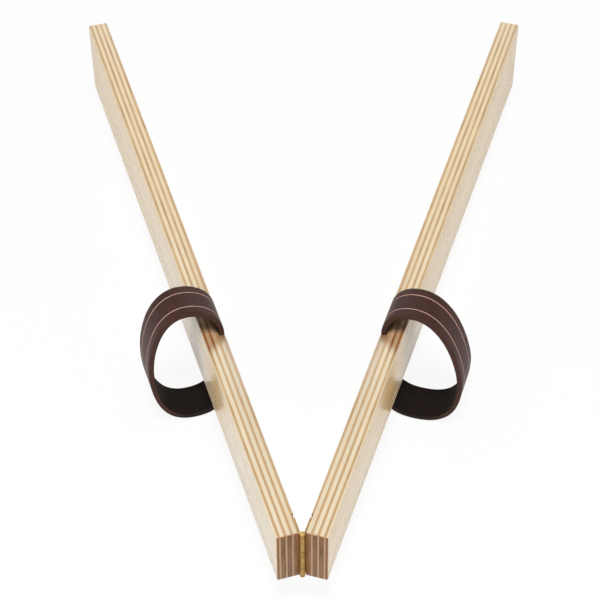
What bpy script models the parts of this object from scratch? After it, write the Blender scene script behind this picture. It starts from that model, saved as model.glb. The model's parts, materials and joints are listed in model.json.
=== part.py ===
"""Slapstick: two tapered plywood boards joined by a brass butt hinge, with a leather hand loop on each.

Metres, +Z up. The boards stand on their long edges in an open V. The hinge pin runs along Z,
and +Y runs from the hinge to the free ends. The origin is the middle of the footprint,
on the surface that the loops stand on.

Each board and what it carries is built in the frame of its arm, an empty on the pin's axis:
X is outward from the clapping face, Y is along the board from the pin, and Z is height above
the boards' middle. The left arm has the same frame with X turned round.
"""

import math
from collections import namedtuple

import bmesh
import bpy
from mathutils import Vector

MM = 0.001

# Boards
BOARD_LENGTH = 442 * MM
BOARD_THICKNESS = 12 * MM
HINGE_END_WIDTH = 32.5 * MM
FREE_END_WIDTH = 49.5 * MM
ARRIS_RADIUS = 0.7 * MM
FREE_CORNER_RADIUS = 2.5 * MM
HINGE_CORNER_RADIUS = 0.8 * MM
OPENING_DEGREES = 34
FACE_OFFSET = 0.7 * MM      # pin axis to clapping face
END_SETBACK = 0.5 * MM      # pin axis to the end face at the hinge

# Hinge
HINGE_HEIGHT = 32 * MM
LEAF_WIDTH = 11.6 * MM      # pin axis to the leaf's far edge
LEAF_THICKNESS = 0.7 * MM
LEAF_CORNER_RADIUS = 1.5 * MM
KNUCKLE_COUNT = 5
KNUCKLE_GAP = 0.3 * MM
PIN_RADIUS = 0.7 * MM
PIN_CLEARANCE = 0.12 * MM
PIN_STANDS_PROUD = 0.3 * MM
PIN_DOME = 0.25 * MM
BARREL_RADIUS = FACE_OFFSET + LEAF_THICKNESS

# Countersunk screws, the same for the hinge and the straps
SCREW_LENGTH = 8.5 * MM
SCREW_HEAD_RADIUS = 2.0 * MM
SCREW_SHANK_RADIUS = 1.1 * MM
SCREW_POINT_LENGTH = 2.4 * MM
SCREW_SLOT_WIDTH = 0.6 * MM
SCREW_SLOT_DEPTH = 0.45 * MM
SCREW_HEAD_SUNK = 0.05 * MM
HINGE_SCREW_COUNT = 3
HINGE_SCREW_EDGE = 5.0 * MM     # leaf's top edge to the first screw
HINGE_SCREW_NEAR = 4.7 * MM     # pin axis to the near row
HINGE_SCREW_FAR = 8.7 * MM      # pin axis to the far row

# Leather straps
STRAP_WIDTH = 21 * MM
STRAP_THICKNESS = 3 * MM
STRAP_FROM_PIN = 140 * MM       # pin axis to the strap's nearer edge
STRAP_SUNK = 0.2 * MM           # clapping face to the strap's surface
STRAP_END_GAP = 1 * MM
STRAP_EDGE_RADIUS = 0.5 * MM
STRAP_SCREW_FROM_END = 7.5 * MM
STRAP_SCREW_SPACING = 10.5 * MM

# Clearances between pieces that touch on the real object
SEAT_GAP = 0.3 * MM
SCREW_GAP = 0.25 * MM

# The strap's middle line round the board, seen along the board. The strap leaves the channel
# straight up, turns over at the crown, is widest at the belly and comes back under the foot.
# Rise and drop are from the board's edges, reach is from its outer face, and out is from its
# clapping face. A pull is how far the curve keeps its direction on either side of a point.
Loop = namedtuple(
    "Loop",
    "crown_out crown_rise belly_reach belly_height foot_out foot_drop "
    "start_pull crown_pull_in crown_pull_out belly_pull_up "
    "belly_pull_down foot_pull_out foot_pull_in end_pull",
)
LEFT_LOOP = Loop(
    crown_out=20.5 * MM, crown_rise=18.5 * MM, belly_reach=29.5 * MM, belly_height=0.5 * MM,
    foot_out=18 * MM, foot_drop=20 * MM,
    start_pull=14 * MM, crown_pull_in=10 * MM, crown_pull_out=17 * MM, belly_pull_up=9 * MM,
    belly_pull_down=12 * MM, foot_pull_out=21.5 * MM, foot_pull_in=11.5 * MM, end_pull=10 * MM,
)
RIGHT_LOOP = Loop(
    crown_out=16.5 * MM, crown_rise=16 * MM, belly_reach=32.5 * MM, belly_height=-9 * MM,
    foot_out=20 * MM, foot_drop=20 * MM,
    start_pull=11 * MM, crown_pull_in=9 * MM, crown_pull_out=19 * MM, belly_pull_up=10.5 * MM,
    belly_pull_down=23.5 * MM, foot_pull_out=15 * MM, foot_pull_in=15 * MM, end_pull=10 * MM,
)

Side = namedtuple("Side", "name sign loop first_knuckle")
LEFT = Side("left", -1, LEFT_LOOP, 0)
RIGHT = Side("right", 1, RIGHT_LOOP, 1)
SIDES = (LEFT, RIGHT)

Finish = namedtuple("Finish", "color roughness metallic")
FINISHES = {
    "board": Finish((0.80, 0.66, 0.46), 0.55, 0.0),
    "brass": Finish((0.72, 0.52, 0.20), 0.32, 1.0),
    "leather": Finish((0.075, 0.040, 0.034), 0.50, 0.0),
}

HALF_OPENING = math.radians(OPENING_DEGREES) / 2
TURN = 2 * math.pi
ROUND_SIDES = 24
CUT_EXTRA = 1 * MM
CLOSE = 0.005 * MM      # points nearer than this are one point


def clear_scene():
    for obj in list(bpy.data.objects):
        bpy.data.objects.remove(obj, do_unlink=True)


def new_collection(name):
    collection = bpy.data.collections.new(name)
    bpy.context.scene.collection.children.link(collection)
    return collection


def new_material(name, finish):
    material = bpy.data.materials.new(name)
    material.use_nodes = True
    shader = material.node_tree.nodes["Principled BSDF"]
    shader.inputs["Base Color"].default_value = (*finish.color, 1)
    shader.inputs["Roughness"].default_value = finish.roughness
    shader.inputs["Metallic"].default_value = finish.metallic
    return material


def board_width_at(along):
    """Width of a board at a distance from the pin axis."""
    share = (along - END_SETBACK) / BOARD_LENGTH
    return HINGE_END_WIDTH + (FREE_END_WIDTH - HINGE_END_WIDTH) * share


def link_object(name, mesh, collection, arm=None, finish=None):
    obj = bpy.data.objects.new(name, mesh)
    collection.objects.link(obj)
    obj.parent = arm
    if finish:
        mesh.materials.clear()
        mesh.materials.append(new_material(name, FINISHES[finish]))
    return obj


def baked_mesh(obj):
    """The evaluated mesh of an object, with doubled points welded; the object itself is removed."""
    bpy.context.view_layer.update()
    depsgraph = bpy.context.evaluated_depsgraph_get()
    mesh = bpy.data.meshes.new_from_object(obj.evaluated_get(depsgraph), depsgraph=depsgraph)
    bpy.data.objects.remove(obj, do_unlink=True)
    work = bmesh.new()
    work.from_mesh(mesh)
    bmesh.ops.remove_doubles(work, verts=work.verts, dist=CLOSE)
    bmesh.ops.recalc_face_normals(work, faces=work.faces)
    work.to_mesh(mesh)
    work.free()
    return mesh


def box_mesh(name, low, high):
    """A box between two corners."""
    low, high = Vector(low), Vector(high)
    work = bmesh.new()
    bmesh.ops.create_cube(work, size=1)
    bmesh.ops.scale(work, vec=high - low, verts=work.verts)
    bmesh.ops.translate(work, vec=(low + high) / 2, verts=work.verts)
    mesh = bpy.data.meshes.new(name)
    work.to_mesh(mesh)
    work.free()
    return mesh


def rod_mesh(name, radius, length):
    """A round bar on Z, centred on the origin."""
    work = bmesh.new()
    bmesh.ops.create_cone(
        work, cap_ends=True, segments=ROUND_SIDES, radius1=radius, radius2=radius, depth=length,
    )
    mesh = bpy.data.meshes.new(name)
    work.to_mesh(mesh)
    work.free()
    return mesh


def outline_mesh(name, points, thickness):
    """A flat outline in XY made solid, with half the thickness on each side of it."""
    curve = bpy.data.curves.new(name, "CURVE")
    curve.dimensions = "2D"
    curve.fill_mode = "BOTH"
    curve.extrude = thickness / 2
    spline = curve.splines.new("POLY")
    spline.points.add(len(points) - 1)
    for point, (x, y) in zip(spline.points, points):
        point.co = (x, y, 0, 1)
    spline.use_cyclic_u = True
    obj = bpy.data.objects.new(name, curve)
    bpy.context.scene.collection.objects.link(obj)
    return baked_mesh(obj)


def turned_mesh(name, profile, sides):
    """A profile of (radius, height) points, from top to bottom, turned about Z."""
    work = bmesh.new()
    ring = [work.verts.new((radius, 0, height)) for radius, height in profile]
    for upper, lower in zip(ring, ring[1:]):
        work.edges.new((upper, lower))
    mesh = bpy.data.meshes.new(name)
    work.to_mesh(mesh)
    work.free()
    obj = bpy.data.objects.new(name, mesh)
    bpy.context.scene.collection.objects.link(obj)
    screw = obj.modifiers.new("turn", "SCREW")
    screw.axis = "Z"
    screw.steps = sides
    screw.render_steps = sides
    screw.use_merge_vertices = True
    screw.merge_threshold = CLOSE
    return baked_mesh(obj)


def arc(center, radius, start, end, steps):
    """Points on an arc, both ends included."""
    angles = [start + (end - start) * step / steps for step in range(steps + 1)]
    return [
        (center[0] + radius * math.cos(angle), center[1] + radius * math.sin(angle))
        for angle in angles
    ]


def cut(target, cutter):
    boolean = target.modifiers.new("cut " + cutter.name, "BOOLEAN")
    boolean.operation = "DIFFERENCE"
    boolean.solver = "EXACT"
    boolean.object = cutter


def new_cutter(name, mesh, cutters, arm=None):
    obj = link_object(name, mesh, cutters, arm)
    obj.hide_render = True
    obj.display_type = "WIRE"
    return obj


def shade_round(obj):
    obj.data.shade_smooth()
    obj.data.set_sharp_from_angle(angle=math.radians(30))


def arm_box(side, low, high, name):
    """A box given by its corners in the arm's frame, X outward from the pin axis."""
    edges = sorted((side.sign * low[0], side.sign * high[0]))
    return box_mesh(name, (edges[0], low[1], low[2]), (edges[1], high[1], high[2]))


def new_arm(side, height, depth, collection):
    """The empty on the pin axis that carries one board, swung out by half the opening."""
    arm = link_object(side.name + "_arm", None, collection)
    arm.location = (0, depth, height)
    arm.rotation_euler.z = -side.sign * HALF_OPENING
    return arm


def screw_profile(growth=0.0):
    """Countersunk head, shank and point, head face at height 0; growth gives the hole for it."""
    head = SCREW_HEAD_RADIUS + growth
    shank = SCREW_SHANK_RADIUS + growth
    tip = SCREW_LENGTH + growth
    top = CUT_EXTRA if growth else 0.0
    profile = [(0, top), (head, top)]
    if growth:
        profile.append((head, 0))
    profile += [(shank, shank - head), (shank, SCREW_POINT_LENGTH - tip), (0, -tip)]
    return profile


def screw_mesh():
    """One slotted screw, shared by every screw object."""
    blank = bpy.data.objects.new("screw_blank", turned_mesh("screw_blank", screw_profile(), 16))
    bpy.context.scene.collection.objects.link(blank)
    reach = SCREW_HEAD_RADIUS + CUT_EXTRA
    slot_mesh = box_mesh(
        "slot",
        (-reach, -SCREW_SLOT_WIDTH / 2, -SCREW_SLOT_DEPTH),
        (reach, SCREW_SLOT_WIDTH / 2, CUT_EXTRA),
    )
    slot = bpy.data.objects.new("slot", slot_mesh)
    bpy.context.scene.collection.objects.link(slot)
    cut(blank, slot)
    mesh = baked_mesh(blank)
    bpy.data.objects.remove(slot, do_unlink=True)
    mesh.name = "countersunk_screw"
    mesh.materials.clear()
    mesh.materials.append(new_material("screw", FINISHES["brass"]))
    return mesh


def place_screw(obj, side, depth, along, height, slot_turn):
    """Point a screw's head at the clapping side; depth is from the clapping face."""
    obj.location = (side.sign * (FACE_OFFSET + depth), along, height)
    obj.rotation_mode = "ZYX"
    obj.rotation_euler = (0, -side.sign * math.pi / 2, slot_turn)


def hinge_screw_spots():
    """Along and height of each hinge screw, in a zigzag down the leaf."""
    top = HINGE_HEIGHT / 2 - HINGE_SCREW_EDGE
    step = 2 * top / (HINGE_SCREW_COUNT - 1)
    rows = (HINGE_SCREW_NEAR, HINGE_SCREW_FAR)
    return [(rows[(index + 1) % 2], top - index * step) for index in range(HINGE_SCREW_COUNT)]


def strap_screw_spots():
    """Along and height of each strap screw, two in each end of the strap."""
    middle = STRAP_FROM_PIN + STRAP_WIDTH / 2
    height = STRAP_END_GAP / 2 + STRAP_SCREW_FROM_END
    return [
        (middle + row * STRAP_SCREW_SPACING / 2, end * height)
        for end in (1, -1)
        for row in (-1, 1)
    ]


def board_outline():
    """Board seen from its outer face, narrow at the hinge, in (height, along)."""
    near = END_SETBACK
    far = END_SETBACK + BOARD_LENGTH
    near_half = HINGE_END_WIDTH / 2
    far_half = FREE_END_WIDTH / 2
    right = [
        *arc((near_half - HINGE_CORNER_RADIUS, near + HINGE_CORNER_RADIUS),
             HINGE_CORNER_RADIUS, -TURN / 4, 0, 3),
        *arc((far_half - FREE_CORNER_RADIUS, far - FREE_CORNER_RADIUS),
             FREE_CORNER_RADIUS, 0, TURN / 4, 5),
    ]
    left = [(-height, along) for height, along in reversed(right)]
    return right + left


def make_board(side, arm, parts, cutters):
    mesh = outline_mesh(side.name + "_board", board_outline(), BOARD_THICKNESS)
    # The outline's plane becomes the board's middle, its first axis the height.
    work = bmesh.new()
    work.from_mesh(mesh)
    for vert in work.verts:
        height, along, across = vert.co
        vert.co = (side.sign * (FACE_OFFSET + BOARD_THICKNESS / 2) + across, along, height)
    bmesh.ops.recalc_face_normals(work, faces=work.faces)
    work.to_mesh(mesh)
    work.free()
    board = link_object(side.name + "_board", mesh, parts, arm, "board")
    bevel = board.modifiers.new("eased edges", "BEVEL")
    bevel.width = ARRIS_RADIUS
    bevel.segments = 3
    bevel.limit_method = "ANGLE"
    bevel.angle_limit = math.radians(40)

    reach = FREE_END_WIDTH
    leaf_rebate = arm_box(
        side,
        (-CUT_EXTRA, -CUT_EXTRA, -reach),
        (FACE_OFFSET + LEAF_THICKNESS + SEAT_GAP, LEAF_WIDTH + SEAT_GAP, reach),
        "leaf_rebate",
    )
    cut(board, new_cutter(side.name + "_leaf_rebate", leaf_rebate, cutters, arm))
    groove = rod_mesh("barrel_groove", BARREL_RADIUS + SEAT_GAP, 2 * reach)
    cut(board, new_cutter(side.name + "_barrel_groove", groove, cutters, arm))
    channel = arm_box(
        side,
        (-CUT_EXTRA, STRAP_FROM_PIN - SEAT_GAP, -reach),
        (
            FACE_OFFSET + STRAP_SUNK + STRAP_THICKNESS + SEAT_GAP,
            STRAP_FROM_PIN + STRAP_WIDTH + SEAT_GAP,
            reach,
        ),
        "strap_channel",
    )
    cut(board, new_cutter(side.name + "_strap_channel", channel, cutters, arm))
    shade_round(board)
    return board


def leaf_outline(side):
    """Leaf and rolled barrel seen along the pin: a flat plate that runs into the barrel."""
    front = FACE_OFFSET
    back = FACE_OFFSET + LEAF_THICKNESS
    front_angle = math.acos(front / BARREL_RADIUS)
    barrel = arc((0, 0), BARREL_RADIUS, 0, front_angle - TURN, ROUND_SIDES)
    outline = [(back, LEAF_WIDTH), *barrel, (front, LEAF_WIDTH)]
    return [(side.sign * x, y) for x, y in outline]


def knuckle_height(index):
    """Middle height of a knuckle, counted from the top."""
    pitch = HINGE_HEIGHT / KNUCKLE_COUNT
    return HINGE_HEIGHT / 2 - (index + 0.5) * pitch


def round_far_corners(mesh):
    """Round the two corners of a leaf's plate that are away from the barrel."""
    work = bmesh.new()
    work.from_mesh(mesh)
    corners = [
        edge for edge in work.edges
        if all(vert.co.y > LEAF_WIDTH - CLOSE for vert in edge.verts)
        and abs(edge.verts[0].co.z - edge.verts[1].co.z) < CLOSE
    ]
    bmesh.ops.bevel(
        work, geom=corners, affect="EDGES", offset=LEAF_CORNER_RADIUS, segments=4, profile=0.5,
    )
    work.to_mesh(mesh)
    work.free()


def make_leaf(side, arm, parts, cutters):
    name = side.name + "_hinge_leaf"
    mesh = outline_mesh(name, leaf_outline(side), HINGE_HEIGHT)
    round_far_corners(mesh)
    leaf = link_object(name, mesh, parts, arm, "brass")
    notch_reach = BARREL_RADIUS + SEAT_GAP
    notch_half = (HINGE_HEIGHT / KNUCKLE_COUNT + KNUCKLE_GAP) / 2
    for index in range(KNUCKLE_COUNT):
        if index % 2 == side.first_knuckle:
            continue
        middle = knuckle_height(index)
        low = -HINGE_HEIGHT if index == KNUCKLE_COUNT - 1 else middle - notch_half
        high = HINGE_HEIGHT if index == 0 else middle + notch_half
        notch = box_mesh("notch", (-notch_reach, -notch_reach, low), (notch_reach, notch_reach, high))
        cut(leaf, new_cutter(f"{side.name}_notch_{index + 1}", notch, cutters, arm))
    bore = rod_mesh("pin_bore", PIN_RADIUS + PIN_CLEARANCE, 2 * HINGE_HEIGHT)
    cut(leaf, new_cutter(side.name + "_pin_bore", bore, cutters, arm))
    shade_round(leaf)
    return leaf


def make_pin(arm, parts):
    """The hinge pin, with shallow domed ends that stand just proud of the barrel."""
    end = HINGE_HEIGHT / 2 + PIN_STANDS_PROUD
    shoulder = end - PIN_DOME
    dome = [
        (PIN_RADIUS * math.cos(TURN / 4 * step / 4), shoulder + PIN_DOME * math.sin(TURN / 4 * step / 4))
        for step in range(4, -1, -1)
    ]
    dome[0] = (0, end)
    profile = dome + [(radius, -height) for radius, height in reversed(dome)]
    pin = link_object("hinge_pin", turned_mesh("hinge_pin", profile, ROUND_SIDES), parts, arm, "brass")
    shade_round(pin)
    return pin


def strap_knots(side):
    """Bezier points of the strap's middle line as (point, handle before, handle after).

    A side with no handle is straight: there the strap lies in its channel.
    """
    loop = side.loop
    edge = board_width_at(STRAP_FROM_PIN + STRAP_WIDTH / 2) / 2
    back = FACE_OFFSET + STRAP_SUNK + STRAP_THICKNESS / 2
    crown = Vector((FACE_OFFSET + loop.crown_out, edge + loop.crown_rise))
    belly = Vector((FACE_OFFSET + BOARD_THICKNESS + loop.belly_reach, loop.belly_height))
    foot = Vector((FACE_OFFSET + loop.foot_out, -edge - loop.foot_drop))
    top_end = Vector((back, STRAP_END_GAP / 2))
    top_edge = Vector((back, edge))
    low_edge = Vector((back, -edge))
    low_end = Vector((back, -STRAP_END_GAP / 2))
    out = Vector((1, 0))
    up = Vector((0, 1))
    return [
        (top_end, None, None),
        (top_edge, None, top_edge + up * loop.start_pull),
        (crown, crown - out * loop.crown_pull_in, crown + out * loop.crown_pull_out),
        (belly, belly + up * loop.belly_pull_up, belly - up * loop.belly_pull_down),
        (foot, foot + out * loop.foot_pull_out, foot - out * loop.foot_pull_in),
        (low_edge, low_edge - up * loop.end_pull, None),
        (low_end, None, None),
    ]


def strap_ribbon(side):
    """The strap's middle surface: its line drawn in (out, height) and widened along the board."""
    name = side.name + "_strap"
    curve = bpy.data.curves.new(name, "CURVE")
    curve.dimensions = "3D"
    curve.resolution_u = 14
    curve.extrude = STRAP_WIDTH / 2
    spline = curve.splines.new("BEZIER")
    knots = strap_knots(side)
    spline.bezier_points.add(len(knots) - 1)
    for bezier, (point, before, after) in zip(spline.bezier_points, knots):
        bezier.co = (side.sign * point.x, point.y, 0)
        bezier.handle_left_type = "FREE" if before else "VECTOR"
        bezier.handle_right_type = "FREE" if after else "VECTOR"
        if before:
            bezier.handle_left = (side.sign * before.x, before.y, 0)
        if after:
            bezier.handle_right = (side.sign * after.x, after.y, 0)
    obj = bpy.data.objects.new(name, curve)
    bpy.context.scene.collection.objects.link(obj)
    return baked_mesh(obj)


def make_strap(side, arm, parts):
    strap = link_object(side.name + "_strap", strap_ribbon(side), parts, arm, "leather")
    work = bmesh.new()
    work.from_mesh(strap.data)
    middle = STRAP_FROM_PIN + STRAP_WIDTH / 2
    for vert in work.verts:
        out, height, along = vert.co
        vert.co = (out, middle + along, height)
    work.to_mesh(strap.data)
    work.free()
    solidify = strap.modifiers.new("leather", "SOLIDIFY")
    solidify.thickness = STRAP_THICKNESS
    solidify.offset = 0
    solidify.use_even_offset = True
    bevel = strap.modifiers.new("eased edges", "BEVEL")
    bevel.width = STRAP_EDGE_RADIUS
    bevel.segments = 2
    bevel.limit_method = "ANGLE"
    bevel.angle_limit = math.radians(60)
    shade_round(strap)
    return strap


def fasten(side, arm, pieces, group, spots, depth, mesh, parts, cutters):
    """Put a screw in at each spot and cut its hole, with clearance, through the pieces it holds."""
    for number, (along, height) in enumerate(spots, start=1):
        name = f"{side.name}_{group}_screw_{number}"
        slot_turn = number * TURN / 7
        screw = link_object(name, mesh, parts, arm)
        place_screw(screw, side, depth + SCREW_HEAD_SUNK, along, height, slot_turn)
        hole_mesh = turned_mesh(name + "_hole", screw_profile(SCREW_GAP), 16)
        hole = new_cutter(name + "_hole", hole_mesh, cutters, arm)
        place_screw(hole, side, depth + SCREW_HEAD_SUNK, along, height, 0)
        for piece in pieces:
            cut(piece, hole)


def pin_place():
    """Depth and height of the pin that put the footprint's middle at the origin."""
    near = ((END_SETBACK + ARRIS_RADIUS) * math.cos(HALF_OPENING)
            - (FACE_OFFSET + BOARD_THICKNESS - ARRIS_RADIUS) * math.sin(HALF_OPENING) - ARRIS_RADIUS)
    far = ((END_SETBACK + BOARD_LENGTH - ARRIS_RADIUS) * math.cos(HALF_OPENING)
           - (FACE_OFFSET + ARRIS_RADIUS) * math.sin(HALF_OPENING) + ARRIS_RADIUS)
    edge = board_width_at(STRAP_FROM_PIN + STRAP_WIDTH / 2) / 2
    lowest = edge + max(side.loop.foot_drop for side in SIDES) + STRAP_THICKNESS / 2
    return -(near + far) / 2, lowest


def main():
    clear_scene()
    parts = new_collection("slapstick")
    cutters = new_collection("slapstick_cutters")
    depth, height = pin_place()
    screw = screw_mesh()
    for side in SIDES:
        arm = new_arm(side, height, depth, parts)
        board = make_board(side, arm, parts, cutters)
        leaf = make_leaf(side, arm, parts, cutters)
        strap = make_strap(side, arm, parts)
        fasten(side, arm, (board, leaf), "hinge", hinge_screw_spots(), 0, screw, parts, cutters)
        fasten(side, arm, (board, strap), "strap", strap_screw_spots(), STRAP_SUNK, screw, parts, cutters)
        if side is LEFT:
            make_pin(arm, parts)


main()
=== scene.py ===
"""Slapstick: two birch plywood boards, the brass butt hinge between them and two leather hand loops.

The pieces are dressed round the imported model, in its frame: metres, +Z up, the loops standing on
Z = 0 and the hinge towards -Y. A board's own frame starts on the pin axis at the boards' middle
height: X is outward from the clapping face, Y along the board and Z up.
"""

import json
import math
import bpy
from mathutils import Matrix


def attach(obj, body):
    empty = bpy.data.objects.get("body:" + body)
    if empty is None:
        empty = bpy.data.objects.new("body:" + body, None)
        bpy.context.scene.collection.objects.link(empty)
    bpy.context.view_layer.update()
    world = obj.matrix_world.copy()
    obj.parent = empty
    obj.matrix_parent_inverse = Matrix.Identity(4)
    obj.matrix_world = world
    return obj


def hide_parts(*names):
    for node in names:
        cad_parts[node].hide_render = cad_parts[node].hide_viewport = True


bl_info = {
    "name": "Slapstick",
    "version": (1, 0, 0),
    "blender": (4, 5, 0),
    "location": "3D View > Sidebar > Slapstick",
    "description": "Dresses a slapstick in birch plywood, brass and leather and sets its stage",
    "category": "Object",
}

from collections import namedtuple

import bmesh
import bpy
from mathutils import Color, Matrix, Vector

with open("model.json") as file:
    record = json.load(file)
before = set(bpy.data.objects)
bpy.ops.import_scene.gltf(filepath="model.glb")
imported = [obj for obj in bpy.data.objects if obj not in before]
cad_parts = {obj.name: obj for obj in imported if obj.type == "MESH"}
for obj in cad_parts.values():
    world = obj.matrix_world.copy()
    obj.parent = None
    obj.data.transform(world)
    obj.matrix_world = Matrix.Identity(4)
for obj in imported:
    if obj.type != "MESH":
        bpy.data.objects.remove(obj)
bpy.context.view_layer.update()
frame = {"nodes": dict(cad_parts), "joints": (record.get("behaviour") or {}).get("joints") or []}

MM = 0.001
TURN = 2 * math.pi
HINGE = frame["joints"][0]
PIN = Vector(HINGE["pos_m"])
HALF_OPENING = math.radians(HINGE["range_deg"][1]) / 2
CLOSE = 0.001 * MM      # points nearer than this are one point

Side = namedtuple("Side", "name sign body")
LEFT = Side("left", -1, "left_half")
RIGHT = Side("right", 1, "right_half")
SIDES = (LEFT, RIGHT)


def board_frame(side):
    """From a board's own frame to the row frame. The left one is a mirror image."""
    turn = Matrix.Rotation(-side.sign * HALF_OPENING, 4, "Z")
    return Matrix.Translation(PIN) @ turn @ Matrix.Diagonal((side.sign, 1, 1, 1))


def board_box(side, node):
    """Lowest and highest corner of a CAD node in its board's own frame."""
    to_board = board_frame(side).inverted()
    places = [to_board @ vert.co for vert in frame["nodes"][node].data.vertices]
    return Vector(map(min, zip(*places))), Vector(map(max, zip(*places)))


BOARD_LOW, BOARD_HIGH = board_box(RIGHT, "right_board")
STRAP_LOW, STRAP_HIGH = board_box(RIGHT, "right_strap")
LEAF_LOW, LEAF_HIGH = board_box(RIGHT, "right_hinge_leaf")
STRAP_MIDDLE = (STRAP_LOW.y + STRAP_HIGH.y) / 2     # from the pin axis, along the board


# Settings

def length(name, description, millimetres):
    """A size, written in millimetres."""
    return bpy.props.FloatProperty(
        name=name, description=description, default=millimetres * MM,
        subtype="DISTANCE", unit="LENGTH", precision=5,
    )


def angle(name, description, degrees):
    """An angle, written in degrees."""
    return bpy.props.FloatProperty(
        name=name, description=description, default=math.radians(degrees),
        subtype="ANGLE", unit="ROTATION",
    )


def share(name, description, default):
    return bpy.props.FloatProperty(
        name=name, description=description, default=default, min=0, max=1, subtype="FACTOR",
    )


def power(name, description, watts):
    return bpy.props.FloatProperty(
        name=name, description=description, default=watts, min=0, subtype="POWER", unit="POWER",
    )


def paint(name, description, red, green, blue):
    """A colour as it looks on screen, each part from 0 to 255."""
    return bpy.props.FloatVectorProperty(
        name=name, description=description, default=(red / 255, green / 255, blue / 255),
        size=3, min=0, max=1, subtype="COLOR_GAMMA",
    )


class PlywoodSettings(bpy.types.PropertyGroup):
    """The birch plywood of both boards."""

    hinge_end_width: length("Hinge end width", "Width of a board at the hinge", 32.5)
    hinge_corner_radius: length("Hinge corner radius", "Rounding of the corners at the hinge", 0.8)
    free_corner_radius: length("Free corner radius", "Rounding of the corners at the free end", 2.5)
    arris_radius: length("Arris radius", "Rounding of the sanded edges", 0.7)
    cut_edge_radius: length("Cut edge radius", "Rounding of the sawn cuts' edges", 0.08)
    fit: length("Fit", "Gap round the leaf, the barrel and the strap", 0.08)
    face_veneer: length("Face veneer", "Thickness of the veneer on each face", 0.5)
    cross_ply: length("Cross ply", "Thickness of each of the four plies laid across", 1.28)
    glue_line: length("Glue line", "Width of the darker line between two plies", 0.07)
    leaf_end_gap: length("Leaf end gap", "Rebate left open beyond the hinge leaf", 1.3)
    end_strip: length("End strip", "Width of the pale strip that a cross ply shows at a sawn end", 0.85)
    end_drift: length("End drift", "How far those strips stand towards the clapping face", 0.55)
    left_drift: length("Left drift", "How far the left plies bend to the clapping face at the hinge", 0.15)
    right_drift: length("Right drift", "How far the right plies bend to that face", 0.6)
    drift_reach: length("Drift reach", "Pin axis to where the plies run straight", 100)
    grain_width: length("Grain width", "Across one streak of the grain", 0.9)
    grain_length: length("Grain length", "Along one streak of the grain", 34)
    pore_size: length("Pore size", "Across the specks of cut end grain", 0.35)
    fleck_length: length("Fleck length", "Along the fine dark flecks of the long grain", 7)
    aged_reach: length("Aged reach", "Pin axis to where cut plies are no longer darker", 200)
    # Partly painted light: the long plies also turn lighter towards the free end, making up for the lamps'
    # falloff there.
    warm_lit_start: length("Warm start", "Pin axis to where the wood begins to turn warmer", 160)
    warm_lit_end: length("Warm end", "Pin axis to where the wood is warmest", 420)
    # Painted reflection: a browner round patch on the outer faces where the strap's dark foot is mirrored.
    reflection_tint_distance: length("Hand distance", "Pin axis to the middle of the handled patch", 115)
    reflection_tint_reach: length("Hand reach", "Middle of the handled patch to its edge", 32)
    # The three settings below place painted shade and warm bounce light round each strap, partly its dye.
    dye_and_shade_start: length("Rub start", "Middle of a strap to where its dye begins to fade", 9)
    dye_and_shade_reach: length("Rub reach", "Middle of a strap to where its dye ends", 18)
    dye_and_shade_slant: length("Rub slant", "How much further the dye reaches at the outer face", 9)
    left_veneer_color: paint("Left veneer", "The left board's sanded faces", 213, 200, 176)
    right_veneer_color: paint("Right veneer", "The right board's sanded faces", 213, 193, 162)
    warm_color: paint("Warm veneer", "The faces towards the free end", 221, 194, 146)
    long_color: paint("Long grain", "Plies cut along their grain", 227, 214, 187)
    # Partly painted light: lighter than the near plies to make up for the lamps' falloff towards the free
    # end.
    far_lit_long_color: paint("Far long grain", "The same plies towards the free end", 246, 223, 182)
    end_color: paint("End grain", "Plies cut across their grain", 209, 178, 133)
    dark_color: paint("Dark end grain", "The darker streaks of cut end grain", 182, 148, 108)
    figure_color: paint("Figure", "The darker figure of the faces", 216, 188, 148)
    sawn_color: paint("Sawn end", "Long plies at the sawn ends", 101, 66, 36)
    strip_color: paint("Sawn strip", "Cross plies at the sawn ends", 168, 137, 106)
    # Painted shade: a darker reddish line along the rounded arrises of the sawn ends.
    arris_shade_color: paint("Scorched arris", "Where the sander caught a sawn end", 152, 98, 60)
    # Painted shade on the end wall of the leaf's rebate, a narrow slot.
    rebate_shade_color: paint("Burnt end", "End of the leaf's rebate, burnt by the cutter", 92, 62, 34)
    # Painted reflection: tint of the outer faces where the strap's dark foot is mirrored in them.
    reflection_tint_color: paint("Handled", "Tint of the faces where a hand rubs them", 255, 236, 205)
    # Painted shade and bounce light from the strap, partly its dye, on the long edges round each strap.
    dye_and_shade_color: paint("Rubbed", "Tint of the long edges beside the straps", 176, 124, 76)
    roughness: share("Roughness", "Roughness of the varnish", 0.25)


class BrassSettings(bpy.types.PropertyGroup):
    """The hinge, its pin and the screws."""

    edge_radius: length("Edge radius", "Rounding of the leaves' edges", 0.12)
    streak_length: length("Streak length", "Along one rolling mark", 9)
    streak_width: length("Streak width", "Across one rolling mark", 0.25)
    # Given only to the barrel's flat ends: partly clean cut metal, partly painted highlight.
    color: paint("Brass", "Clean brass", 222, 192, 118)
    lacquer_color: paint("Aged lacquer", "Rolled surfaces under old lacquer", 182, 146, 86)
    tarnish_color: paint("Tarnish", "Tarnished brass", 146, 112, 64)
    polish: share("Polish", "Roughness where the brass is cleanest", 0.24)
    dullness: share("Dullness", "Roughness where the brass is dullest", 0.42)


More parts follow.
